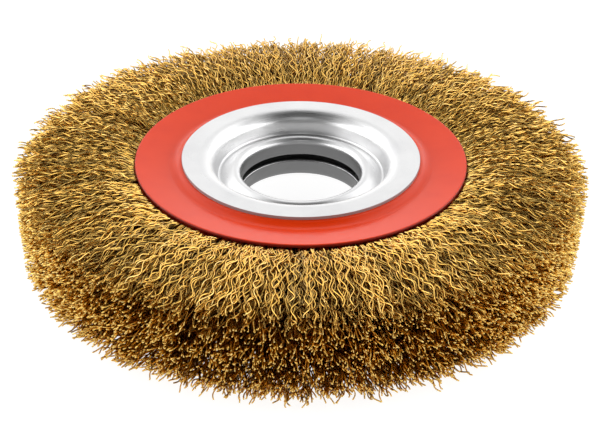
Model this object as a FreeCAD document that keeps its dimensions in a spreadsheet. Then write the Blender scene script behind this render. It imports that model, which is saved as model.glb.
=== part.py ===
"""Crimped wire wheel brush for a bench grinder, in millimetres.

The wheel lies flat: its axis is +Z and the origin is the centre of the bore, halfway between the two faces.
Two pressed hub flanges line the bore and clamp two pressed side plates. Hanks of crimped wire are folded
round a hidden retaining ring, held between the side plates, and splay outwards to the rim.
"""

import math
import os

import FreeCAD
import Part
import Sketcher
from FreeCAD import Placement, Rotation, Vector

# Driving dimensions: alias, value, what it measures
DIMENSIONS = [
    ("bore_diameter", 32.0, "spindle bore, inside the necks of the hub flanges"),
    ("hub_width", 20.0, "over the clamping faces of the two hub flanges"),
    ("hub_sheet", 0.8, "sheet thickness of a hub flange"),
    ("dish_depth", 6.2, "from the clamping face down to the foot of the dish wall"),
    ("dish_wall_run", 2.0, "how far the dish wall leans outwards"),
    ("dish_floor_width", 6.1, "dish floor between the foot of the wall and the neck"),
    ("floor_rise", 3.1, "how far the dish floor climbs from its foot to the neck, less its bend"),
    ("clamp_ring_width", 7.5, "clamping ring round the dish, with its bend"),
    ("neck_gap", 1.85, "between the ends of the two necks"),
    ("mouth_bend", 4.0, "outer bend from the clamping ring into the dish"),
    ("foot_bend", 0.6, "inner bend at the foot of the dish wall"),
    ("neck_bend", 1.7, "outer bend from the dish floor into the neck"),
    ("neck_round", 0.35, "rounding of the neck's end, inside the bore"),
    ("spacer_wall", 3.0, "radial wall of the ring between the feet of the two dishes"),
    ("plate_diameter", 87.8, "side plate over its rim"),
    ("plate_sheet", 0.9, "sheet thickness of a side plate"),
    ("plate_hole_clearance", 0.2, "between the dish and the hole of the side plate"),
    ("seat_margin", 0.5, "flat seat that shows round the hub flange"),
    ("shoulder_run", 1.8, "width of the slope from the seat down to the trough"),
    ("trough_depth", 1.0, "trough of the side plate below its seat"),
    ("rim_rise", 0.9, "rim of the side plate above its seat"),
    ("shoulder_bend", 1.2, "outer bend at the edge of the seat"),
    ("trough_bend", 3.0, "inner bend at the bottom of the trough"),
    ("rim_round", 0.4, "rounding of the side plate's edges"),
    ("ring_wire_diameter", 3.2, "wire of the retaining ring"),
    ("ring_clearance", 0.2, "between the retaining ring and the folded wire"),
    ("fold_clearance", 0.2, "fold of a hank set back from the hole of the side plate"),
    ("fold_wrap", 1.6, "wire behind the retaining ring, at the fold"),
    ("fold_bend", 3.0, "outer bend of the fold"),
    ("fill_clearance", 0.25, "between the wire and the side plates"),
    ("wheel_diameter", 150.0, "over the tips of the longest strands"),
    ("fill_width", 27.0, "width of the wire face at the rim"),
    ("splay_share", 0.547, "share of the free wire that splays, from the side plate to the full width"),
    ("rim_corner", 6.0, "rounding of the wire face at its two edges"),
    ("tip_step", 0.7, "difference in length between one strand and the next"),
    ("hank_count", 48, "hanks round the wheel"),
    ("hank_gap", 0.3, "between one hank and the next"),
    ("leg_gap", 0.3, "slit between the two legs of a hank"),
    ("strand_gap", 0.3, "slit between the strands that a leg is combed into"),
    ("strand_root", 3.0, "from the edge of the side plate to where the strands part"),
    ("crimp_pitch", 6.4, "length of one crimp wave"),
    ("crimp_height", 0.55, "half the height of a crimp wave"),
]

# Sizes that follow from the driving dimensions: alias, formula
DERIVED = [
    ("bore_radius", "bore_diameter / 2"),
    ("face_height", "hub_width / 2"),
    ("foot_height", "face_height - dish_depth"),
    ("neck_height", "foot_height + floor_rise"),
    ("foot_radius", "bore_radius + dish_floor_width"),
    ("mouth_radius", "foot_radius + dish_wall_run"),
    ("flange_radius", "mouth_radius + clamp_ring_width"),
    ("wall_length", "sqrt(dish_wall_run ^ 2 + dish_depth ^ 2)"),
    ("wall_angle", "atan(dish_depth / dish_wall_run)"),
    ("floor_angle", "atan(floor_rise / dish_floor_width)"),
    ("foot_lift", "foot_bend * cos((wall_angle - floor_angle) / 2) / cos((wall_angle + floor_angle) / 2)"),
    ("foot_underside", "foot_height + foot_lift - foot_bend - hub_sheet"),
    ("wall_shift", "hub_sheet * (wall_length - dish_wall_run) / dish_depth"),
    ("mouth_inner_bend", "mouth_bend - hub_sheet"),
    ("neck_end", "neck_gap / 2"),
    ("spacer_height", "2 * foot_underside"),
    ("spacer_outer_radius", "foot_radius + hub_sheet"),
    ("spacer_inner_radius", "spacer_outer_radius - spacer_wall"),
    ("seat_height", "face_height - hub_sheet"),
    ("hole_radius", "mouth_radius + wall_shift + mouth_inner_bend + plate_hole_clearance"),
    ("seat_radius", "flange_radius + seat_margin"),
    ("trough_radius", "seat_radius + shoulder_run"),
    ("trough_height", "seat_height - trough_depth"),
    ("plate_radius", "plate_diameter / 2"),
    ("rim_height", "seat_height + rim_rise"),
    ("fold_radius", "hole_radius + fold_clearance"),
    ("ring_wire_radius", "ring_wire_diameter / 2"),
    ("ring_channel_radius", "ring_wire_radius + ring_clearance"),
    ("ring_radius", "fold_radius + fold_wrap + ring_channel_radius"),
    ("wheel_radius", "wheel_diameter / 2"),
    ("full_width_radius", "plate_radius + splay_share * (wheel_radius - plate_radius)"),
    ("comb_radius", "plate_radius + strand_root"),
]

STRAND_STEPS = (0, 2, 1)  # tip steps of the strands of a leg, shifted by one from hank to hank

doc = FreeCAD.newDocument("wire_wheel_brush")
sheet = doc.addObject("Spreadsheet::Sheet", "sizes")


def fill_sheet():
    """Put the driving dimensions and the sizes that follow from them into the sheet."""
    for row, (alias, value, meaning) in enumerate(DIMENSIONS, start=1):
        sheet.set(f"A{row}", meaning)
        sheet.set(f"B{row}", str(value))
        sheet.setAlias(f"B{row}", alias)
    for row, (alias, formula) in enumerate(DERIVED, start=len(DIMENSIONS) + 1):
        sheet.set(f"A{row}", alias.replace("_", " "))
        sheet.set(f"B{row}", "=" + formula)
        sheet.setAlias(f"B{row}", alias)
    doc.recompute()


def size(alias):
    """Read a size from the sheet."""
    return float(sheet.get(alias))


def origin_feature(body, role):
    """Find one of the body's own origin planes or axes."""
    return next(f for f in body.Origin.OriginFeatures if f.Role == role)


def line_meet(point_a, way_a, point_b, way_b):
    """Where two lines in the plane of a profile meet."""
    cross = way_a.x * way_b.y - way_a.y * way_b.x
    gap = point_b - point_a
    return point_a + way_a * ((gap.x * way_b.y - gap.y * way_b.x) / cross)


def under_side(points, thickness):
    """Corners of the hidden face of a sheet whose visible face runs through the points, outside in.

    The outer edge is cut upright, and the inner end is cut square to the sheet.
    """
    ways = [(b - a).normalize() for a, b in zip(points, points[1:], strict=False)]
    shifts = [Vector(-way.y, way.x, 0) * thickness for way in ways]
    upright = Vector(0, 1, 0)
    corners = [line_meet(points[0] + shifts[0], ways[0], points[0], upright)]
    for i in range(1, len(ways)):
        corners.append(line_meet(points[i] + shifts[i - 1], ways[i - 1], points[i] + shifts[i], ways[i]))
    corners.append(points[-1] + shifts[-1])
    return corners


def pressed_sheet(label, visible, thickness):
    """A pressed sheet of even thickness, turned about the wheel's axis.

    visible lists the aliases of each corner of the visible face, as (radius, height), from outside in.
    """
    body = doc.addObject("PartDesign::Body", label)
    sketch = body.newObject("Sketcher::SketchObject", label + "_profile")
    sketch.AttachmentSupport = [(origin_feature(body, "XZ_Plane"), "")]
    sketch.MapMode = "FlatFace"
    face = [Vector(size(radius), size(height), 0) for radius, height in visible]
    back = under_side(face, size(thickness))
    loop = face + back[::-1]
    last = len(loop)
    lines = [
        sketch.addGeometry(Part.LineSegment(loop[i], loop[(i + 1) % last]), False) for i in range(last)
    ]
    for i in range(last):
        sketch.addConstraint(Sketcher.Constraint("Coincident", lines[i], 2, lines[(i + 1) % last], 1))
    for i, (radius, height) in enumerate(visible):
        for kind, alias, value in (("DistanceX", radius, face[i].x), ("DistanceY", height, face[i].y)):
            index = sketch.addConstraint(Sketcher.Constraint(kind, -1, 1, lines[i], 1, value))
            sketch.setExpression(f"Constraints[{index}]", f"sizes.{alias}")
    runs = len(face) - 1
    for i in range(runs):
        under = last - 2 - i
        sketch.addConstraint(Sketcher.Constraint("Parallel", lines[i], lines[under]))
        index = sketch.addConstraint(
            Sketcher.Constraint("Distance", lines[under], 1, lines[i], size(thickness))
        )
        sketch.setExpression(f"Constraints[{index}]", f"sizes.{thickness}")
    sketch.addConstraint(Sketcher.Constraint("Perpendicular", lines[runs], lines[runs - 1]))
    sketch.addConstraint(Sketcher.Constraint("Vertical", lines[last - 1]))
    turned = body.newObject("PartDesign::Revolution", label + "_turned")
    turned.Profile = sketch
    turned.ReferenceAxis = (sketch, ["V_Axis"])
    turned.Angle = 360.0
    doc.recompute()
    return body, face, back


def edge_ring(shape, corner):
    """Name of the circular edge at a corner of the turned profile."""
    for number, edge in enumerate(shape.Edges, start=1):
        curve = edge.Curve
        if not isinstance(curve, Part.Circle):
            continue
        if abs(curve.Radius - corner.x) < 1e-4 and abs(curve.Center.z - corner.y) < 1e-4:
            return f"Edge{number}"
    raise ValueError(f"no edge at radius {corner.x:.3f}, height {corner.y:.3f}")


def round_corners(body, corners, radius):
    """Round circular edges of a turned body with one radius, given as a formula of sheet sizes."""
    base = body.Tip
    rounded = body.newObject("PartDesign::Fillet", f"{body.Name}_bend")
    rounded.Base = (base, [edge_ring(base.Shape, corner) for corner in corners])
    rounded.setExpression("Radius", radius)
    doc.recompute()


def hub_flange(label, turn):
    """A hub flange: clamping ring, dished step, climbing floor and the neck that lines the bore."""
    visible = [
        ("flange_radius", "face_height"),
        ("mouth_radius", "face_height"),
        ("foot_radius", "foot_height"),
        ("bore_radius", "neck_height"),
        ("bore_radius", "neck_end"),
    ]
    body, face, back = pressed_sheet(label, visible, "hub_sheet")
    round_corners(body, [face[1]], "sizes.mouth_bend")
    round_corners(body, [back[1]], "sizes.mouth_bend - sizes.hub_sheet")
    round_corners(body, [face[2]], "sizes.foot_bend")
    round_corners(body, [back[2]], "sizes.foot_bend + sizes.hub_sheet")
    round_corners(body, [face[3]], "sizes.neck_bend")
    round_corners(body, [back[3]], "sizes.neck_bend - sizes.hub_sheet")
    round_corners(body, [face[4]], "sizes.neck_round")
    body.Placement = turn
    return body


def side_plate(label, turn):
    """A side plate: seat under the hub flange, shoulder, shallow trough and raised rim."""
    visible = [
        ("plate_radius", "rim_height"),
        ("trough_radius", "trough_height"),
        ("seat_radius", "seat_height"),
        ("hole_radius", "seat_height"),
    ]
    body, face, back = pressed_sheet(label, visible, "plate_sheet")
    round_corners(body, [face[1]], "sizes.trough_bend")
    round_corners(body, [back[1]], "sizes.trough_bend + sizes.plate_sheet")
    round_corners(body, [face[2]], "sizes.shoulder_bend")
    round_corners(body, [back[2]], "sizes.shoulder_bend - sizes.plate_sheet")
    round_corners(body, [face[0], back[0]], "sizes.rim_round")
    body.Placement = turn
    return body


def spacer_ring(label):
    """The ring between the feet of the two dishes, as a tube."""
    solids = []
    for name, radius in (("outside", "spacer_outer_radius"), ("inside", "spacer_inner_radius")):
        cylinder = doc.addObject("Part::Cylinder", f"{label}_{name}")
        cylinder.setExpression("Radius", f"sizes.{radius}")
        cylinder.setExpression("Height", "sizes.spacer_height")
        cylinder.setExpression("Placement.Base.z", "-sizes.spacer_height / 2")
        solids.append(cylinder)
    ring = doc.addObject("Part::Cut", label)
    ring.Base, ring.Tool = solids
    return ring


def retaining_ring(label):
    """The hoop that the wire is folded round."""
    ring = doc.addObject("Part::Torus", label)
    ring.setExpression("Radius1", "sizes.ring_radius")
    ring.setExpression("Radius2", "sizes.ring_wire_radius")
    return ring


def crimp_wave(first_side):
    """The crimp of a wire as corners (radius, sideways), from the edge of the side plate to past the tip."""
    half_wave = size("crimp_pitch") / 2
    start = size("plate_radius")
    corners = [(start, 0.0)]
    side = first_side * size("crimp_height")
    radius = start + half_wave / 2
    while corners[-1][0] < size("wheel_radius"):
        corners.append((radius, side))
        radius += half_wave
        side = -side
    return corners


def wave_to(wave, tip):
    """The corners of a crimp wave up to the tip, with one on the tip itself."""
    kept = [corner for corner in wave if corner[0] < tip]
    (near, low), (far, high) = kept[-1], wave[len(kept)]
    return [*kept, (tip, low + (high - low) * (tip - near) / (far - near))]


def leg_profile(first_side):
    """One leg of a hank, seen along the rim: from the fold, under the side plate, out to the tip.

    Past the radius where the strands part, the outer face dips between the crests of the crimp wave.
    """
    clear = size("fill_clearance")
    plate = size("plate_sheet")
    fold = size("fold_radius")
    bend = size("fold_bend")
    ring = size("ring_radius")
    channel = size("ring_channel_radius")
    slit = size("leg_gap") / 2
    corner = size("rim_corner")
    half_width = size("fill_width") / 2
    tip = size("wheel_radius")
    edge = size("plate_radius")
    comb = size("comb_radius")
    throat = size("trough_height") - plate - clear
    exit_height = size("rim_height") - plate - clear
    splay = (half_width - exit_height) / (size("full_width_radius") - edge)
    slit_start = ring + math.sqrt(channel**2 - slit**2)
    last_crest = tip - corner - size("crimp_pitch") / 4
    diagonal = math.sqrt(0.5)

    def at(radius, height):
        return Vector(radius, 0, height)

    def face(radius, drop):
        return at(radius, min(exit_height + splay * (radius - edge), half_width) - drop)

    fold_back = at(fold, 0)
    fold_side = at(fold, throat - bend)
    fold_top = at(fold + bend, throat)
    fold_mid = at(fold + bend * (1 - diagonal), throat - bend * (1 - diagonal))
    trough = at(size("trough_radius"), throat)
    crests = [
        face(radius, size("crimp_height") - side)
        for radius, side in crimp_wave(first_side)
        if comb < radius < last_crest
    ]
    corner_top = at(tip - corner, half_width)
    corner_mid = at(tip - corner * (1 - diagonal), half_width - corner * (1 - diagonal))
    corner_end = at(tip, half_width - corner)
    tip_end = at(tip, slit)
    slit_end = at(slit_start, slit)
    channel_top = at(ring, channel)
    channel_back = at(ring - channel, 0)

    def run(*points):
        return [Part.LineSegment(a, b).toShape() for a, b in zip(points, points[1:], strict=False)]

    edges = run(fold_back, fold_side)
    edges.append(Part.Arc(fold_side, fold_mid, fold_top).toShape())
    edges += run(fold_top, trough, face(edge, 0), face(comb, 0), *crests, corner_top)
    edges.append(Part.Arc(corner_top, corner_mid, corner_end).toShape())
    edges += run(corner_end, tip_end, slit_end)
    edges.append(Part.Arc(slit_end, channel_top, channel_back).toShape())
    edges += run(channel_back, fold_back)
    return Part.Face(Part.Wire(edges))


def leg_plans(first_side, steps):
    """A leg seen along the axis: its root, then the strands it is combed into, outlined by their crimp."""
    half_angle = math.pi / size("hank_count")
    wave = crimp_wave(first_side)
    count = len(steps)
    comb = wave_to(wave, size("comb_radius"))

    def side(number, sign, corners):
        gap = size("hank_gap") if number in (0, count) else size("strand_gap")
        slope = math.tan(half_angle * (2 * number / count - 1))
        return [Vector(x, x * slope - sign * gap / 2 + y, 0) for x, y in corners]

    def outline(first, last, corners):
        points = side(first, -1, corners) + side(last, 1, corners)[::-1]
        return Part.Face(Part.makePolygon(points + points[:1]))

    plans = [outline(0, count, [(size("fold_radius"), 0.0), *comb])]
    for number, step in enumerate(steps):
        run = wave_to(wave, size("wheel_radius") - step * size("tip_step"))
        plans.append(outline(number, number + 1, [comb[-1], *run[len(comb) - 1 :]]))
    return plans


def hank_shape(steps):
    """A hank of crimped wire: two legs whose waves run opposite ways, joined at the fold."""
    width = 2 * size("wheel_diameter") * math.tan(math.pi / size("hank_count"))
    pieces = []
    for way, leg_steps in ((1, steps), (-1, steps[::-1])):
        slabs = []
        for first_side in (1, -1):
            slab = leg_profile(first_side).translated(Vector(0, -width / 2, 0)).extrude(Vector(0, width, 0))
            slabs.append(slab if way == 1 else slab.mirror(Vector(0, 0, 0), Vector(0, 0, 1)))
        rise = Vector(0, 0, way * size("fill_width"))
        for number, plan in enumerate(leg_plans(way, leg_steps)):
            pieces.append(slabs[number % 2].common(plan.extrude(rise)))
    return pieces[0].fuse(pieces[1:]).removeSplitter().Solids[0]


def wire_hanks():
    """The hanks of the wire fill, in a ring, with strands of uneven length."""
    count = int(size("hank_count"))
    shifts = len(STRAND_STEPS)
    kinds = [hank_shape(STRAND_STEPS[i:] + STRAND_STEPS[:i]) for i in range(shifts)]
    hanks = []
    for i in range(count):
        hank = doc.addObject("Part::Feature", f"wire_bundle_{i + 1:02d}")
        hank.Shape = kinds[i % shifts]
        hank.Placement = Placement(Vector(), Rotation(Vector(0, 0, 1), 360.0 * i / count))
        hanks.append(hank)
    return hanks


def check(subparts):
    """Stop if anything in the document failed or a sub-part isn't a sound solid."""
    for item in doc.Objects:
        if "Invalid" in item.State or "Error" in item.State:
            raise RuntimeError(f"{item.Name} failed: {item.State}")
    for item in subparts:
        if item.Shape.isNull() or not item.Shape.isValid() or not item.Shape.Solids:
            raise RuntimeError(f"{item.Label} has no sound solid")
        print(f"{item.Label}: {len(item.Shape.Solids)} solid, {item.Shape.Volume:.1f} mm3")


def main():
    """Build every sub-part and write each one's shape."""
    fill_sheet()
    upright = Placement()
    turned_over = Placement(Vector(), Rotation(Vector(1, 0, 0), 180))
    subparts = [
        hub_flange("upper_hub_flange", upright),
        hub_flange("lower_hub_flange", turned_over),
        spacer_ring("hub_spacer_ring"),
        side_plate("upper_side_plate", upright),
        side_plate("lower_side_plate", turned_over),
        retaining_ring("retaining_ring"),
    ]
    subparts += wire_hanks()
    doc.recompute()
    check(subparts)
    os.makedirs("parts", exist_ok=True)
    for item in subparts:
        item.Shape.exportStep(f"parts/{item.Label}.step")


main()
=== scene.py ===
"""Dress the crimped wire wheel brush and set it in a plain white studio.

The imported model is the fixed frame, in metres. Its pressed hub flanges and side plates keep their
shape and get plated and painted finishes. The wire bundles are replaced by crimped wires, one piece
for each sector of the wheel.
"""

import logging
import math
from dataclasses import dataclass
from enum import Enum

import bpy
import numpy as np
from mathutils import Matrix, Vector


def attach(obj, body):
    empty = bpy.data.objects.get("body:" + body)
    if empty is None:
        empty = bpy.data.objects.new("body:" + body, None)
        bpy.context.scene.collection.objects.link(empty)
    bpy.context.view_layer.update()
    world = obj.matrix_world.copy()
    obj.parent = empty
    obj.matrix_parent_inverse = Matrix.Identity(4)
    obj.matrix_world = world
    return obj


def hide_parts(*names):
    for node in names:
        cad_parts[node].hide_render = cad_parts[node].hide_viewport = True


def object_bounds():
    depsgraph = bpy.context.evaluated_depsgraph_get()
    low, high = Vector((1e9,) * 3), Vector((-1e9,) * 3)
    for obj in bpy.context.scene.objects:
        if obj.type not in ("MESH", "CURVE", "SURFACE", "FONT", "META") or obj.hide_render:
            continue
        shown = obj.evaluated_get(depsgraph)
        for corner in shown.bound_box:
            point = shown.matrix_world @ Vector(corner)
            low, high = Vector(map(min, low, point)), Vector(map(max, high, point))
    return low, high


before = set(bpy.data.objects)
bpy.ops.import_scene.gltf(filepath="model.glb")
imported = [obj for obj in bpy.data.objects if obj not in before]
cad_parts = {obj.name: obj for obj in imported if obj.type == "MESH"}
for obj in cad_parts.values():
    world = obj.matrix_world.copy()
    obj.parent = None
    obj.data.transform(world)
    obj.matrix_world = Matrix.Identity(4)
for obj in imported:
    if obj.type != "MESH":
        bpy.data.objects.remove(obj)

LOG = logging.getLogger("wheel_brush")
MM = 0.001
TURN = 2.0 * math.pi
WIRE_SIDES = 3
BAKE_MAP = "OFBake"
TONE = "wire_tone"
CAD_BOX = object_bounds()

Colour = tuple[float, float, float]
Span = tuple[float, float]


def frame_radius(name: str) -> float:
    """Give the outside radius of a round piece of the frame, in millimetres."""
    return round(max(corner[0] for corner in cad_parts[name].bound_box) / MM, 3)


WHEEL_RADIUS = round(CAD_BOX[1][0] / MM, 3)
HALF_WIDTH = round(CAD_BOX[1][2] / MM, 3)
FLANGE_RADIUS = frame_radius("upper_hub_flange")
PLATE_RADIUS = frame_radius("upper_side_plate")


class Graph:
    """A node tree that is filled from empty, with short ways to add nodes and join them."""

    def __init__(self, tree: bpy.types.NodeTree) -> None:
        """Empty the tree.

        Args:
            tree: The tree of a material or of the world.
        """
        self.tree = tree
        tree.nodes.clear()

    def add(self, kind: str, **settings: object) -> bpy.types.Node:
        """Add a node.

        Args:
            kind: The node's type name, without its common prefix.
            settings: Values for the node's own properties.

        Returns:
            The new node.
        """
        node = self.tree.nodes.new("ShaderNode" + kind)
        for name, value in settings.items():
            setattr(node, name, value)
        return node

    def put(self, socket: bpy.types.NodeSocket, source: object) -> None:
        """Link a source socket to a socket, or set a plain value on it.

        Args:
            socket: The input to feed.
            source: An output socket, or a value.
        """
        if isinstance(source, bpy.types.NodeSocket):
            self.tree.links.new(source, socket)
        elif isinstance(source, tuple) and len(source) == 3 and socket.type == "RGBA":
            socket.default_value = (*source, 1.0)
        else:
            socket.default_value = source

    def math(self, operation: str, *sources: object, clamp: bool = False) -> bpy.types.NodeSocket:
        """Work out a number.

        Args:
            operation: Blender's name of the sum.
            sources: Its sockets or values.
            clamp: Whether the result is held between 0 and 1.

        Returns:
            The socket that carries the number.
        """
        node = self.add("Math", operation=operation, use_clamp=clamp)
        for socket, source in zip(node.inputs, sources, strict=False):
            self.put(socket, source)
        return node.outputs[0]

    def span(
        self, source: object, low: float, high: float, start: float, end: float
    ) -> bpy.types.NodeSocket:
        """Map a number from one range to another with a soft start and end.

        Args:
            source: The number to map.
            low: Its lowest value.
            high: Its highest value.
            start: What the lowest value becomes.
            end: What the highest value becomes.

        Returns:
            The socket that carries the mapped number.
        """
        node = self.add("MapRange", interpolation_type="SMOOTHSTEP")
        for socket, value in zip(node.inputs, (source, low, high, start, end), strict=False):
            self.put(socket, value)
        return node.outputs[0]

    def border(
        self, source: object, at: float, soft: Span, start: float, end: float
    ) -> bpy.types.NodeSocket:
        """Change a number at a soft border.

        Args:
            source: The number that crosses the border.
            at: Where the border is.
            soft: Where the change starts and ends, from the border.
            start: The number before the border.
            end: The number after it.

        Returns:
            The socket that carries the changed number.
        """
        return self.span(source, at + soft[0], at + soft[1], start, end)

    def place(self) -> bpy.types.NodeSocket:
        """Give the place on the piece."""
        return self.add("TexCoord").outputs["Object"]

    def split(self, place: bpy.types.NodeSocket) -> list[bpy.types.NodeSocket]:
        """Split a place or a direction into its three axes.

        Args:
            place: The socket that carries it.

        Returns:
            The sockets that carry x, y and z.
        """
        node = self.add("SeparateXYZ")
        self.put(node.inputs[0], place)
        return list(node.outputs)

    def from_axis(
        self, across: bpy.types.NodeSocket, along: bpy.types.NodeSocket
    ) -> bpy.types.NodeSocket:
        """Work out how far a place is from the wheel's axis.

        Args:
            across: The socket that carries its x.
            along: The socket that carries its y.

        Returns:
            The socket that carries the radius.
        """
        squares = [self.math("MULTIPLY", side, side) for side in (across, along)]
        return self.math("SQRT", self.math("ADD", *squares))

    def noise(
        self, place: object, scale: float, detail: float = 3.0, roughness: float = 0.5
    ) -> bpy.types.NodeSocket:
        """Make an even noise.

        Args:
            place: The socket that carries the place.
            scale: Spots per metre, or per unit of the place.
            detail: Octaves of finer noise.
            roughness: How strong the finer octaves are.

        Returns:
            The socket that carries the noise.
        """
        node = self.add("TexNoise")
        self.put(node.inputs["Vector"], place)
        self.put(node.inputs["Scale"], scale)
        self.put(node.inputs["Detail"], detail)
        self.put(node.inputs["Roughness"], roughness)
        return node.outputs["Fac"]

    def blend(self, factor: object, first: object, second: object) -> bpy.types.NodeSocket:
        """Mix two colours.

        Args:
            factor: Share of the second colour.
            first: A colour or the socket of one.
            second: A colour or the socket of one.

        Returns:
            The socket that carries the mixed colour.
        """
        node = self.add("Mix", data_type="RGBA")
        self.put(node.inputs[0], factor)
        self.put(node.inputs[6], first)
        self.put(node.inputs[7], second)
        return node.outputs[2]

    def bump(self, height: object, distance: float, strength: float) -> bpy.types.NodeSocket:
        """Turn a height into a bumped normal.

        Args:
            height: The socket that carries the height.
            distance: How far the full height stands out, in metres.
            strength: Share of the bump that shows.

        Returns:
            The socket that carries the normal.
        """
        node = self.add("Bump")
        self.put(node.inputs["Height"], height)
        self.put(node.inputs["Distance"], distance)
        self.put(node.inputs["Strength"], strength)
        return node.outputs["Normal"]


@dataclass(frozen=True)
class Finish:
    """What every finish has: a name, and a material built from nodes."""

    name: str

    def material(self) -> bpy.types.Material:
        """Build the finish.

        Returns:
            Its material.
        """
        material = bpy.data.materials.new(self.name)
        material.use_nodes = True
        graph = Graph(material.node_tree)
        shader = graph.add("BsdfPrincipled")
        out = graph.add("OutputMaterial")
        graph.put(out.inputs["Surface"], shader.outputs[0])
        self.dress(graph, shader)
        return material

    def dress(self, graph: Graph, shader: bpy.types.Node) -> None:
        """Set up the shader; each finish has its own way.

        Args:
            graph: The material's nodes.
            shader: Its surface shader.
        """
        raise NotImplementedError


@dataclass(frozen=True)
class BrassWire(Finish):
    """Brass-coated steel wire, with some wires bright and some brown, and painted light and shade
    in the tone of each wire.
    """

    # Dark end of the tone ramp: brown at random, and painted shade on wires deep in the fill.
    browned_and_shaded: Colour = (0.36, 0.232, 0.07)
    brass: Colour = (1.0, 0.61, 0.135)
    bright: Colour = (1.0, 0.71, 0.245)
    roughness: Span = (0.16, 0.26)
    spot_scale: float = 700.0
    spot_share: float = 0.5
    spot_range: Span = (0.25, 0.75)

    def dress(self, graph: Graph, shader: bpy.types.Node) -> None:
        """Colour each wire by its own tone, which carries painted light and shade, and by fine
        spots along it.

        Args:
            graph: The material's nodes.
            shader: Its surface shader.
        """
        tone = graph.add("Attribute", attribute_name=TONE).outputs["Fac"]
        spots = graph.noise(graph.place(), self.spot_scale)
        speckle = graph.math("MULTIPLY", graph.math("SUBTRACT", spots, 0.5), self.spot_share)
        ramp = graph.add("ValToRGB")
        stops = ramp.color_ramp.elements
        stops[0].color = (*self.browned_and_shaded, 1.0)
        stops[1].color = (*self.bright, 1.0)
        stops.new(0.5).color = (*self.brass, 1.0)
        graph.put(ramp.inputs[0], graph.math("ADD", tone, speckle, clamp=True))
        graph.put(shader.inputs["Base Color"], ramp.outputs[0])
        graph.put(shader.inputs["Metallic"], 1.0)
        graph.put(shader.inputs["Roughness"], graph.span(spots, *self.spot_range, *self.roughness))


@dataclass(frozen=True)
class ZincPlate(Finish):
    """Bright zinc plating on a pressed flange, with turning marks, a rougher bore painted dark grey
    as shade, and a grey edge.
    """

    plate: Colour = (0.68, 0.68, 0.68)
    cloud: Colour = (0.61, 0.61, 0.615)
    # Painted shade: the dark grey laid inside the bore.
    shaded_bore: Colour = (0.22, 0.22, 0.22)
    cut_edge: Colour = (0.36, 0.36, 0.37)
    rim_radius: float = FLANGE_RADIUS * MM
    bore_height: float = 4.1 * MM
    bore_edge: float = 17.4 * MM
    neck_end: float = 0.98 * MM
    rim_soft: Span = (-0.12 * MM, -0.02 * MM)
    mouth_soft: Span = (-0.1 * MM, 0.5 * MM)
    bore_soft: Span = (-0.2 * MM, 0.2 * MM)
    end_soft: Span = (0.0, 0.15 * MM)
    roughness: Span = (0.26, 0.38)
    bore_dullness: float = 0.12
    edge_dullness: float = 0.8
    cloud_scale: float = 90.0
    cloud_range: Span = (0.3, 0.75)
    ring_scale: float = 4.0
    ring_range: Span = (0.25, 0.75)
    ring_stretch: float = 0.6
    ring_depth: float = 0.02 * MM
    ring_strength: float = 0.12

    def dress(self, graph: Graph, shader: bpy.types.Node) -> None:
        """Cloud the plating, turn fine rings into it, dull the bore and the cut edge, and paint
        shade into the bore as a dark grey.

        Args:
            graph: The material's nodes.
            shader: Its surface shader.
        """
        place = graph.place()
        across, along, height = graph.split(place)
        radius = graph.from_axis(across, along)
        turned = graph.add("CombineXYZ")
        angle = graph.math("ARCTAN2", along, across)
        graph.put(turned.inputs[0], graph.math("MULTIPLY", radius, 1.0 / MM))
        graph.put(turned.inputs[1], graph.math("MULTIPLY", angle, self.ring_stretch))
        graph.put(turned.inputs[2], graph.math("MULTIPLY", height, 1.0 / MM))
        rings = graph.noise(turned.outputs[0], self.ring_scale, detail=4.0, roughness=0.6)
        clouds = graph.noise(place, self.cloud_scale, detail=4.0, roughness=0.55)
        clouded = graph.span(clouds, *self.cloud_range, 0.0, 1.0)
        plated = graph.blend(clouded, self.plate, self.cloud)

        inside = graph.border(radius, self.bore_edge, self.bore_soft, 1.0, 0.0)
        below = graph.border(height, self.bore_height, self.mouth_soft, 1.0, 0.0)
        from_middle = graph.math("ABSOLUTE", height)
        off_end = graph.border(from_middle, self.neck_end, self.end_soft, 0.0, 1.0)
        in_bore = graph.math("MULTIPLY", graph.math("MULTIPLY", inside, below), off_end)
        at_rim = graph.border(radius, self.rim_radius, self.rim_soft, 0.0, 1.0)

        # Painted shade: the bore is painted dark grey.
        with_bore_shade = graph.blend(in_bore, plated, self.shaded_bore)
        graph.put(shader.inputs["Base Color"], graph.blend(at_rim, with_bore_shade, self.cut_edge))
        dulled = graph.math("MULTIPLY", at_rim, self.edge_dullness)
        graph.put(shader.inputs["Metallic"], graph.math("SUBTRACT", 1.0, dulled))
        turning = graph.span(rings, *self.ring_range, *self.roughness)
        lifted = graph.math("MULTIPLY", in_bore, self.bore_dullness)
        graph.put(shader.inputs["Roughness"], graph.math("ADD", turning, lifted))
        graph.put(shader.inputs["Normal"], graph.bump(rings, self.ring_depth, self.ring_strength))


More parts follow.
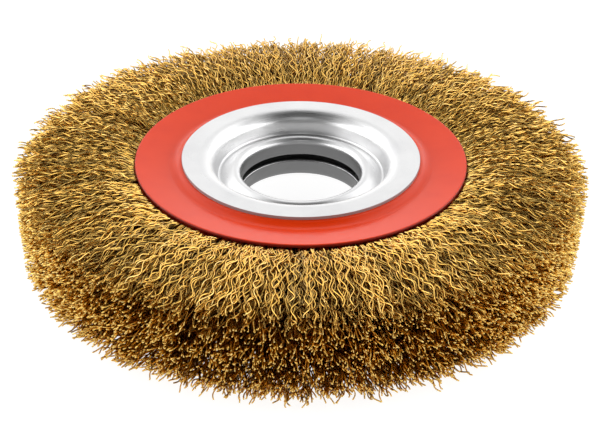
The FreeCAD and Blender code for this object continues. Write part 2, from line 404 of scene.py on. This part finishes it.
@dataclass(frozen=True)
class RedPaint(Finish):
    """Glossy red paint on a pressed side plate, with a little orange peel."""

    red: Colour = (0.77, 0.045, 0.004)
    deep: Colour = (0.70, 0.034, 0.003)
    edge: Colour = (0.20, 0.012, 0.008)
    rim_radius: float = PLATE_RADIUS * MM
    rim_soft: Span = (-0.35 * MM, -0.02 * MM)
    roughness: Span = (0.18, 0.26)
    gloss: float = 0.2
    deep_share: float = 0.6
    cloud_scale: float = 120.0
    cloud_range: Span = (0.35, 0.8)
    peel_scale: float = 650.0
    peel_range: Span = (0.3, 0.7)
    peel_depth: float = 0.05 * MM
    peel_strength: float = 0.08

    def dress(self, graph: Graph, shader: bpy.types.Node) -> None:
        """Vary the red a little, make it darker at the outer rim and add the peel.

        Args:
            graph: The material's nodes.
            shader: Its surface shader.
        """
        place = graph.place()
        across, along, _ = graph.split(place)
        radius = graph.from_axis(across, along)
        clouds = graph.noise(place, self.cloud_scale)
        deeper = graph.span(clouds, *self.cloud_range, 0.0, self.deep_share)
        red = graph.blend(deeper, self.red, self.deep)
        at_rim = graph.border(radius, self.rim_radius, self.rim_soft, 0.0, 1.0)
        graph.put(shader.inputs["Base Color"], graph.blend(at_rim, red, self.edge))
        peel = graph.noise(place, self.peel_scale, detail=2.0)
        rough = graph.span(peel, *self.peel_range, *self.roughness)
        graph.put(shader.inputs["Roughness"], rough)
        graph.put(shader.inputs["Specular IOR Level"], self.gloss)
        graph.put(shader.inputs["Normal"], graph.bump(peel, self.peel_depth, self.peel_strength))


@dataclass(frozen=True)
class CoreSteel(Finish):
    """Plain dark steel of the pieces inside the hub and the fill."""

    steel: Colour = (0.20, 0.20, 0.205)
    stain: Colour = (0.11, 0.10, 0.095)
    metallic: float = 0.9
    roughness: Span = (0.35, 0.6)
    patch_scale: float = 240.0
    patch_range: Span = (0.3, 0.7)
    stain_range: Span = (0.35, 0.7)

    def dress(self, graph: Graph, shader: bpy.types.Node) -> None:
        """Stain the steel with dull patches.

        Args:
            graph: The material's nodes.
            shader: Its surface shader.
        """
        patches = graph.noise(graph.place(), self.patch_scale, detail=4.0)
        stains = graph.span(patches, *self.stain_range, 0.0, 1.0)
        graph.put(shader.inputs["Base Color"], graph.blend(stains, self.steel, self.stain))
        graph.put(shader.inputs["Metallic"], self.metallic)
        dullness = graph.span(patches, *self.patch_range, *self.roughness)
        graph.put(shader.inputs["Roughness"], dullness)


class Zone(Enum):
    """Where in the fill a wire runs."""

    FACE = (42.6, 56, 0.2)
    CORE = (43.4, 42, 0.38)

    def __init__(self, start: float, rings: int, tone: float) -> None:
        """Name the zone's values.

        Args:
            start: Radius in millimetres where a wire's mesh starts.
            rings: Rings of vertices along a wire.
            tone: Tone of a wire before the painted light near the faces and the rim is added.
        """
        self.start = start
        self.rings = rings
        self.tone = tone


@dataclass(frozen=True)
class Draws:
    """Random numbers for the wires of one zone in one sector."""

    rng: np.random.Generator
    count: int

    def each(self, low: float, high: float) -> np.ndarray:
        """Draw a number for each wire, evenly between two values."""
        return self.rng.uniform(low, high, self.count)[:, None]

    def about(self, middle: float, spread: float) -> np.ndarray:
        """Draw a number for each wire, round a middle value."""
        return self.rng.normal(middle, spread, self.count)[:, None]

    def chosen(self, share: float) -> np.ndarray:
        """Choose about a share of the wires."""
        return self.each(0.0, 1.0) < share


@dataclass(frozen=True)
class Tufts:
    """How the wires of one zone bunch together, with a number for each wire."""

    angle: np.ndarray
    sunk: np.ndarray
    cut: np.ndarray
    drift: np.ndarray


@dataclass
class WireFill:
    """The crimped wires between the side plates, in sectors, with sizes in millimetres."""

    # Counts
    sectors: int = 24
    bundles: int = 48
    face_wires: int = 215
    core_wires: int = 360
    seed: int = 41

    # Outline of the fill
    wire_radius: float = 0.2
    plate_radius: float = PLATE_RADIUS
    plate_slope: float = 0.19
    throat: float = 9.0
    half_width: float = HALF_WIDTH
    splay_radius: float = 61.0
    swell: float = 2.4
    wheel_radius: float = WHEEL_RADIUS
    upper_corner: float = 4.5
    lower_corner: float = 5.0
    rim_lean: float = 0.6

    # Layers across the width, from -1 to 1, and the share of face wires in the outer one
    outer_share: float = 0.42
    outer_layer: Span = (0.97, 1.0)
    face_layer: Span = (0.82, 0.95)
    core_layer: Span = (-0.95, 0.82)

    # Tufts, and the cut of the wires in them
    tufts: int = 7
    gather: float = 0.25
    tuft_sink: float = 0.5
    tuft_drift: float = 0.025
    wire_drift: float = 0.06
    cut_back: float = 1.2
    cut_spread: float = 0.9
    stray_share: float = 0.2
    stray_depth: float = 2.0

    # Crimp and curl
    crimp_length: float = 7.2
    crimp_height: float = 0.78
    crimp_tilt: float = 0.75
    crimp_root: float = 2.5
    length_share: Span = (0.8, 1.2)
    height_share: Span = (0.65, 1.1)
    wobble_share: Span = (0.1, 0.35)
    wobble_rate: Span = (0.45, 0.62)
    face_crimp: float = 0.6
    curl: float = 0.7
    curl_lift: float = 0.5
    stray_curl: float = 1.8
    lean_in: float = 0.025

    # Tones, with painted light near the faces and the rim and painted shade deeper in the fill
    face_light_depth: float = 2.0
    face_light_gain: float = 0.8
    face_light_power: float = 1.5
    rim_light_depth: float = 8.0
    rim_light_gain: float = 0.2
    tone_spread: float = 0.18
    bright_ends: float = 0.18

    # Rows of strips on the bake map, and what fills a strip, as shares of it
    strip_rows: int = 4
    wall_edge: float = 0.1
    wall_width: float = 0.8
    wall_foot: float = 0.05
    wall_length: float = 0.9
    cap_across: tuple[float, float, float] = (0.1, 0.5, 0.9)
    cap_feet: Span = (0.01, 0.96)
    cap_rise: float = 0.03

    def top(self, radius: np.ndarray) -> np.ndarray:
        """Half the width between the middle lines of the outermost wires.

        Args:
            radius: Where to take it.

        Returns:
            The half-width at each radius.
        """
        out = radius - self.plate_radius
        share = np.clip(out / (self.splay_radius - self.plate_radius), 0.0, 1.0)
        full = self.half_width - self.face_crimp - self.wire_radius
        under_plate = self.plate_slope * np.minimum(out, 0.0)
        splay = (full - self.throat) * (1.0 - (1.0 - share) ** self.swell)
        return self.throat + under_plate + splay

    def trim(self, layer: np.ndarray) -> np.ndarray:
        """Radius where the wires are trimmed.

        Args:
            layer: Place of each wire across the width, from -1 to 1.

        Returns:
            The trimmed radius of each wire.
        """
        corner = np.where(layer > 0.0, self.upper_corner, self.lower_corner)
        into = np.clip(np.abs(layer) * self.half_width - self.half_width + corner, 0.0, corner)
        lean = self.rim_lean * (1.0 + layer) / 2
        return self.wheel_radius - lean - corner + np.sqrt(corner**2 - into**2)

    def layers(
        self, draws: Draws, zone: Zone, order: np.ndarray
    ) -> tuple[np.ndarray, np.ndarray]:
        """Share the wires of a zone out across the width.

        Args:
            draws: The zone's random numbers.
            zone: Where the wires run.
            order: Number of each wire round the sector.

        Returns:
            Place of each wire across the width, from -1 to 1, and the angle of its crimp to
            the face.
        """
        if zone is Zone.CORE:
            return draws.each(*self.core_layer), draws.each(0.0, TURN)
        outer = draws.chosen(self.outer_share)
        depth = np.where(outer, draws.each(*self.outer_layer), draws.each(*self.face_layer))
        return depth * np.where(order % 2, 1.0, -1.0), draws.about(0.0, self.crimp_tilt)

    def bunch(self, draws: Draws, order: np.ndarray, layer: np.ndarray, sector: int) -> Tufts:
        """Gather the wires of a zone in tufts, each with its own height, cut and drift.

        Args:
            draws: The zone's random numbers.
            order: Number of each wire round the sector.
            layer: Place of each wire across the width.
            sector: Number of the sector.

        Returns:
            Angle, depth, cut and drift of each wire.
        """
        rng, width = draws.rng, 360.0 / self.sectors
        place = (order + draws.each(0.0, 1.0)) / draws.count * self.tufts
        tuft = np.floor(place).astype(int)
        place = tuft + 0.5 + (place - tuft - 0.5) * (1.0 - self.gather)
        degrees = sector * width - 180.0 / self.bundles + place * width / self.tufts
        depths = np.abs(rng.normal(0.0, self.tuft_sink, (2, self.tufts)))
        cuts = rng.normal(-self.cut_back, self.tuft_sink, self.tufts)
        cut = cuts[tuft] + draws.about(0.0, self.cut_spread)
        drifts = rng.normal(0.0, self.tuft_drift, self.tufts)
        drift = drifts[tuft] + draws.about(0.0, self.wire_drift)
        return Tufts(np.radians(degrees), depths[(layer > 0.0).astype(int), tuft], cut, drift)

    def tones(
        self, draws: Draws, zone: Zone, radius: np.ndarray, height: np.ndarray
    ) -> np.ndarray:
        """Tone the wires: painted light makes them brighter near the faces and the rim, painted
        shade keeps them darker deeper in the fill, with a random spread and bright cut ends.

        Args:
            draws: The zone's random numbers.
            zone: Where the wires run.
            radius: Radius of each point.
            height: Height of each point.

        Returns:
            A tone for each point, from 0 to 1.
        """
        # Painted light and shade: the tone rises near the faces and near the rim and stays low
        # deeper in the fill.
        depth = self.top(radius) + self.face_crimp - np.abs(height)
        face_light = np.clip(1.0 - depth / self.face_light_depth, 0.0, 1.0)
        at_rim = np.clip(1.0 - (self.wheel_radius - radius) / self.rim_light_depth, 0.0, 1.0)
        lifted = zone.tone + self.face_light_gain * face_light**self.face_light_power + self.rim_light_gain * at_rim
        tones = np.clip(lifted + draws.about(0.0, self.tone_spread), 0.0, 1.0)
        tones[:, -1:] = np.where(draws.chosen(self.bright_ends), 1.0, tones[:, -1:])
        return tones

    def paths(
        self, rng: np.random.Generator, zone: Zone, count: int, sector: int
    ) -> tuple[np.ndarray, np.ndarray]:
        """Run the middle lines of a sector's wires in one zone.

        Args:
            rng: The sector's random numbers.
            zone: Where the wires run.
            count: How many wires.
            sector: Number of the sector.

        Returns:
            Points in millimetres, by wire, ring and axis, and a tone for each.
        """
        draws = Draws(rng, count)
        order = rng.permutation(count)[:, None]
        layer, plane = self.layers(draws, zone, order)
        side = np.sign(layer)
        tufts = self.bunch(draws, order, layer, sector)
        stray = draws.chosen(self.stray_share)
        stray_tip = self.wheel_radius + draws.each(-self.stray_depth, 0.0)
        tip = np.where(stray, stray_tip, self.trim(layer) + tufts.cut)
        tip = np.minimum(tip, self.wheel_radius - 2.0 * self.wire_radius)

        radius = zone.start + (tip - zone.start) * np.linspace(0.0, 1.0, zone.rings)
        run = np.clip(radius - self.plate_radius, 0.0, None)
        fade = np.clip(run / self.crimp_root, 0.0, 1.0)
        grown = run / (self.wheel_radius - self.plate_radius)
        length = self.crimp_length * draws.each(*self.length_share)
        wave = TURN * run / length + draws.each(0.0, TURN)
        crimp = self.crimp_height * draws.each(*self.height_share) * fade * np.sin(wave)
        swing = self.crimp_height * draws.each(*self.wobble_share) * fade
        wobble = swing * np.sin(wave * draws.each(*self.wobble_rate) + draws.each(0.0, TURN))
        bend = rng.normal(0.0, self.curl, (2, count, 1)) * np.where(stray, self.stray_curl, 1.0)
        curl = bend * grown**3

        lateral = tufts.drift * run + curl[0] + crimp * np.cos(plane) - wobble * np.sin(plane)
        lean = np.abs(draws.about(0.0, self.lean_in)) * side * run
        height = layer * self.top(radius) - lean + self.curl_lift * curl[1]
        height = height + crimp * np.sin(plane) + wobble * np.cos(plane) - side * tufts.sunk * fade
        limit = self.half_width - self.wire_radius
        height = np.clip(height, -limit, limit)
        reach = np.hypot(radius, lateral)
        squeeze = np.minimum(1.0, (self.wheel_radius - self.wire_radius) / reach)
        cosine, sine = np.cos(tufts.angle), np.sin(tufts.angle)
        points = (
            squeeze * (radius * cosine - lateral * sine),
            squeeze * (radius * sine + lateral * cosine),
            height,
        )
        return np.stack(points, axis=2), self.tones(draws, zone, radius, height)

    def tubes(self, paths: np.ndarray) -> np.ndarray:
        """Put three corners round each point of the middle lines.

        Args:
            paths: The middle lines.

        Returns:
            Corners in millimetres, by wire, ring, corner and axis.
        """
        way = np.gradient(paths, axis=1)
        way /= np.linalg.norm(way, axis=2, keepdims=True)
        side = np.cross(way, np.array((0.0, 0.0, 1.0)))
        side /= np.linalg.norm(side, axis=2, keepdims=True)
        up = np.cross(side, way)
        degrees = 90.0 + 360.0 / WIRE_SIDES * np.arange(WIRE_SIDES)
        turns = np.radians(degrees)[None, None, :, None]
        ring = np.cos(turns) * side[:, :, None] + np.sin(turns) * up[:, :, None]
        return paths[:, :, None] + self.wire_radius * ring

    def faces(self, wires: int, rings: int, offset: int) -> tuple[np.ndarray, np.ndarray]:
        """List the faces of a batch of tubes.

        Args:
            wires: Tubes in the batch.
            rings: Rings of each tube.
            offset: Number of the batch's first vertex.

        Returns:
            The walls as rows of four vertices, and the end caps as rows of three.
        """
        base = offset + WIRE_SIDES * rings * np.arange(wires)[:, None, None]
        lower = base + WIRE_SIDES * np.arange(rings - 1)[None, :, None]
        upper = lower + WIRE_SIDES
        corner = np.arange(WIRE_SIDES)[None, None, :]
        after = (corner + 1) % WIRE_SIDES
        around = (lower + corner, lower + after, upper + after, upper + corner)
        root = base[:, 0] + np.arange(WIRE_SIDES)[::-1]
        tip = base[:, 0] + WIRE_SIDES * (rings - 1) + np.arange(WIRE_SIDES)
        return np.stack(around, axis=3).reshape(-1, 4), np.concatenate((root, tip))

    def unwrap(self, first: int, wires: int, rings: int) -> tuple[np.ndarray, np.ndarray]:
        """Lay a batch of tubes out flat, as a narrow strip for each wire.

        Args:
            first: Number of the batch's first wire in its piece.
            wires: Tubes in the batch.
            rings: Rings of each tube.

        Returns:
            Places on the map for the corners of the walls, and for the corners of the end caps.
        """
        columns = math.ceil((self.face_wires + self.core_wires) / self.strip_rows)
        row, column = np.divmod(first + np.arange(wires), columns)
        sides = np.arange(WIRE_SIDES)[:, None] + np.array((0, 1, 1, 0))
        across = self.wall_edge + self.wall_width * sides / WIRE_SIDES
        steps = np.arange(rings - 1)[:, None] + np.array((0, 0, 1, 1))
        along = self.wall_foot + self.wall_length * steps / (rings - 1)
        wall_u = (column[:, None, None, None] + across) / columns
        wall_v = (row[:, None, None, None] + along[:, None]) / self.strip_rows
        walls = np.stack(np.broadcast_arrays(wall_u, wall_v), axis=-1)
        cap_u = (column[:, None] + np.array(self.cap_across)) / columns
        rise = np.array((0.0, self.cap_rise, 0.0))
        caps = []
        for foot in self.cap_feet:
            cap_v = (row[:, None] + foot + rise) / self.strip_rows
            caps.append(np.stack((cap_u, cap_v), axis=-1))
        return walls.reshape(-1, 2), np.concatenate(caps).reshape(-1, 2)

    def mesh(self, sector: int) -> bpy.types.Mesh:
        """Build the mesh of one sector's wires.

        Args:
            sector: Number of the sector.

        Returns:
            A mesh of closed tubes, each with its own tone.
        """
        rng = np.random.default_rng(self.seed + sector)
        points, tones, walls, caps, wall_places, cap_places = ([] for _ in range(6))
        made, first = 0, 0
        for zone, count in ((Zone.FACE, self.face_wires), (Zone.CORE, self.core_wires)):
            paths, tone = self.paths(rng, zone, count, sector)
            corners = self.tubes(paths).reshape(-1, 3)
            wall, cap = self.faces(count, zone.rings, made)
            wall_place, cap_place = self.unwrap(first, count, zone.rings)
            points.append(corners)
            tones.append(np.repeat(tone.ravel(), WIRE_SIDES))
            walls.append(wall)
            caps.append(cap)
            wall_places.append(wall_place)
            cap_places.append(cap_place)
            made += len(corners)
            first += count
        return tube_mesh(
            f"crimped_wires_{sector + 1:02d}",
            np.concatenate(points) * MM,
            np.concatenate(walls),
            np.concatenate(caps),
            np.concatenate(tones),
            np.concatenate(wall_places + cap_places),
        )

    def build(self, finish: Finish) -> list[bpy.types.Object]:
        """Make and dress one piece for each sector.

        Args:
            finish: The wires' finish.

        Returns:
            The pieces, in order round the wheel.
        """
        material = finish.material()
        share = self.bundles // self.sectors
        pieces = []
        for sector in range(self.sectors):
            mesh = self.mesh(sector)
            mesh.materials.append(material)
            piece = bpy.data.objects.new(mesh.name, mesh)
            bpy.context.scene.collection.objects.link(piece)
            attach(piece, "root")
            names = [f"wire_bundle_{sector * share + i + 1:02d}" for i in range(share)]
            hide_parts(*names)
            pieces.append(piece)
        return pieces


def tube_mesh(
    name: str,
    points: np.ndarray,
    walls: np.ndarray,
    caps: np.ndarray,
    tones: np.ndarray,
    places: np.ndarray,
) -> bpy.types.Mesh:
    """Build a smooth mesh from arrays.

    Args:
        name: The mesh's name.
        points: Vertices in metres.
        walls: Faces of four vertices.
        caps: Faces of three vertices.
        tones: A tone for each vertex.
        places: A place on the bake map for each corner of the walls, then of the caps.

    Returns:
        The mesh.
    """
    mesh = bpy.data.meshes.new(name)
    corners = np.concatenate((walls.ravel(), caps.ravel())).astype(np.int32)
    counts = np.concatenate((np.full(len(walls), 4), np.full(len(caps), WIRE_SIDES)))
    starts = np.concatenate(((0,), np.cumsum(counts)[:-1])).astype(np.int32)
    mesh.vertices.add(len(points))
    mesh.vertices.foreach_set("co", points.astype(np.float32).ravel())
    mesh.loops.add(len(corners))
    mesh.loops.foreach_set("vertex_index", corners)
    mesh.polygons.add(len(counts))
    mesh.polygons.foreach_set("loop_start", starts)
    mesh.polygons.foreach_set("use_smooth", np.ones(len(counts), dtype=bool))
    tone = mesh.attributes.new(TONE, "FLOAT", "POINT")
    tone.data.foreach_set("value", tones.astype(np.float32))
    bake_map = mesh.uv_layers.new(name=BAKE_MAP)
    bake_map.data.foreach_set("uv", places.astype(np.float32).ravel())
    mesh.update(calc_edges=True)
    return mesh


@dataclass
class PressedParts:
    """The pressed and turned metal pieces that keep their CAD shape."""

    plated: tuple[str, ...] = ("upper_hub_flange", "lower_hub_flange")
    painted: tuple[str, ...] = ("upper_side_plate", "lower_side_plate")
    hidden: tuple[str, ...] = ("hub_spacer_ring", "retaining_ring")

    def dress(self) -> list[str]:
        """Give each piece its finish.

        Returns:
            The names of the pieces that were dressed.
        """
        done = []
        for finish, names in (
            (ZincPlate("zinc_plating"), self.plated),
            (RedPaint("red_paint"), self.painted),
            (CoreSteel("core_steel"), self.hidden),
        ):
            material = finish.material()
            for name in names:
                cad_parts[name].material_slots[0].material = material
                done.append(name)
        return done


@dataclass(frozen=True)
class SoftBox:
    """A square soft box that faces the wheel; a level of 1 is white."""

    name: str
    direction: tuple[float, float, float]
    side: float
    level: float

    def hang(self, distance: float) -> None:
        """Hang the box in its direction from the wheel.

        Args:
            distance: How far away it hangs, in metres.
        """
        lamp = bpy.data.lights.new(self.name, "AREA")
        lamp.size = self.side
        lamp.energy = self.level * math.pi * self.side**2
        box = bpy.data.objects.new(self.name, lamp)
        direction = Vector(self.direction)
        box.location = direction.normalized() * distance
        box.rotation_mode = "QUATERNION"
        box.rotation_quaternion = direction.to_track_quat("Z", "Y")
        bpy.context.scene.collection.objects.link(box)


@dataclass
class Studio:
    """White floor and sweep, soft boxes round the wheel, and the camera, in metres and degrees."""

    boxes: tuple[SoftBox, ...] = (
        SoftBox("left_box", (-0.74, 0.24, 0.63), 0.85, 0.88),
        SoftBox("right_box", (0.74, 0.24, 0.63), 0.85, 0.85),
        SoftBox("low_left_box", (-0.97, -0.10, 0.20), 0.85, 1.6),
        SoftBox("low_right_box", (0.97, -0.10, 0.20), 0.85, 1.55),
        SoftBox("front_left_box", (-0.68, -0.60, 0.42), 0.2, 2.0),
        SoftBox("front_right_box", (0.68, -0.60, 0.42), 0.2, 2.0),
        SoftBox("front_box", (0.0, -0.66, 0.75), 0.25, 0.7),
    )
    box_distance: float = 0.75
    front_level: float = 0.18
    back_level: float = 1.27
    low_gain: float = 1.5
    ceiling_share: float = 0.1
    back_span: Span = (0.05, 0.5)
    low_span: Span = (0.1, 0.5)
    ceiling_span: Span = (0.74, 0.93)
    horizon_span: Span = (0.16, 0.23)
    floor_height: float = -HALF_WIDTH * MM
    floor_size: float = 6.0
    floor_glow: float = 0.9
    floor_tint: Colour = (0.24, 0.24, 0.24)
    focal_pixels: float = 1070.0
    sensor_width: float = 36.0
    clip: Span = (0.01, 20.0)
    image_size: tuple[int, int] = (605, 424)
    hub_pixel: tuple[float, float] = (300.695, 186.06)
    camera_distance: float = 0.290
    pitch: float = 32.0
    roll: float = -0.59

    def build(self) -> None:
        """Set up the whole studio."""
        bpy.context.scene.view_settings.view_transform = "Standard"
        self.sweep()
        self.floor()
        for box in self.boxes:
            box.hang(self.box_distance)
        self.camera()

    def sweep(self) -> None:
        """Light the world: white low down and behind the wheel, dim in front and overhead."""
        world = bpy.data.worlds.new("studio")
        bpy.context.scene.world = world
        world.use_nodes = True
        graph = Graph(world.node_tree)
        _, back, up = graph.split(graph.add("TexCoord").outputs["Generated"])
        behind = graph.span(back, *self.back_span, self.front_level, self.back_level)
        raised = graph.span(up, *self.low_span, self.low_gain, 1.0)
        overhead = graph.span(up, *self.ceiling_span, 1.0, self.ceiling_share)
        level = graph.math("MULTIPLY", behind, graph.math("MULTIPLY", raised, overhead))
        horizon = graph.span(up, *self.horizon_span, 1.0, 0.0)
        backdrop = graph.add("Background")
        graph.put(backdrop.inputs["Color"], (1.0, 1.0, 1.0))
        graph.put(backdrop.inputs["Strength"], graph.math("MAXIMUM", level, horizon))
        graph.put(graph.add("OutputWorld").inputs["Surface"], backdrop.outputs[0])

    def floor(self) -> None:
        """Lay a white floor that keeps a soft shadow."""
        half = self.floor_size / 2
        ends = ((-half, -half), (half, -half), (half, half), (-half, half))
        mesh = bpy.data.meshes.new("studio_floor")
        mesh.from_pydata([(*end, self.floor_height) for end in ends], [], [(0, 1, 2, 3)])
        floor = bpy.data.objects.new("studio_floor", mesh)
        bpy.context.scene.collection.objects.link(floor)
        material = bpy.data.materials.new("studio_floor")
        material.use_nodes = True
        graph = Graph(material.node_tree)
        matt = graph.add("BsdfDiffuse")
        graph.put(matt.inputs["Color"], self.floor_tint)
        glow = graph.add("Emission")
        rays = graph.add("LightPath").outputs
        seen = graph.math("MAXIMUM", rays["Is Camera Ray"], rays["Is Transmission Ray"])
        seen = graph.math("MAXIMUM", seen, rays["Is Glossy Ray"])
        graph.put(glow.inputs["Strength"], graph.math("MULTIPLY", seen, self.floor_glow))
        both = graph.add("AddShader")
        graph.put(both.inputs[0], matt.outputs[0])
        graph.put(both.inputs[1], glow.outputs[0])
        graph.put(graph.add("OutputMaterial").inputs["Surface"], both.outputs[0])
        mesh.materials.append(material)

    def camera(self) -> None:
        """Place the camera by the hub's pixel, the pitch and the distance."""
        data = bpy.data.cameras.new("photo_camera")
        data.sensor_fit = "HORIZONTAL"
        data.sensor_width = self.sensor_width
        data.lens = self.focal_pixels / self.image_size[0] * data.sensor_width
        data.clip_start, data.clip_end = self.clip
        pitch, roll = math.radians(self.pitch), math.radians(self.roll)
        level = Matrix(
            (
                (1.0, 0.0, 0.0),
                (0.0, math.sin(pitch), math.cos(pitch)),
                (0.0, -math.cos(pitch), math.sin(pitch)),
            )
        )
        axes = (Matrix.Rotation(roll, 3, "Z") @ level).transposed()
        middle_x, middle_y = (side / 2 for side in self.image_size)
        right = (self.hub_pixel[0] - middle_x) / self.focal_pixels
        up = (middle_y - self.hub_pixel[1]) / self.focal_pixels
        towards = axes @ Vector((right, up, -1.0)).normalized()
        stand = Matrix.Translation(-towards * self.camera_distance)
        camera = bpy.data.objects.new("photo_camera", data)
        camera.matrix_world = stand @ axes.to_4x4()
        bpy.context.scene.collection.objects.link(camera)
        bpy.context.scene.camera = camera


def main() -> None:
    """Build the studio, dress the metal pieces and make the wires."""
    logging.basicConfig(level=logging.INFO, format="%(message)s")
    Studio().build()
    for name in PressedParts().dress():
        LOG.info("dressed %s", name)
    for piece in WireFill().build(BrassWire("brass_wire")):
        LOG.info("made %s with %d faces", piece.name, len(piece.data.polygons))


if __name__ == "__main__":
    main()
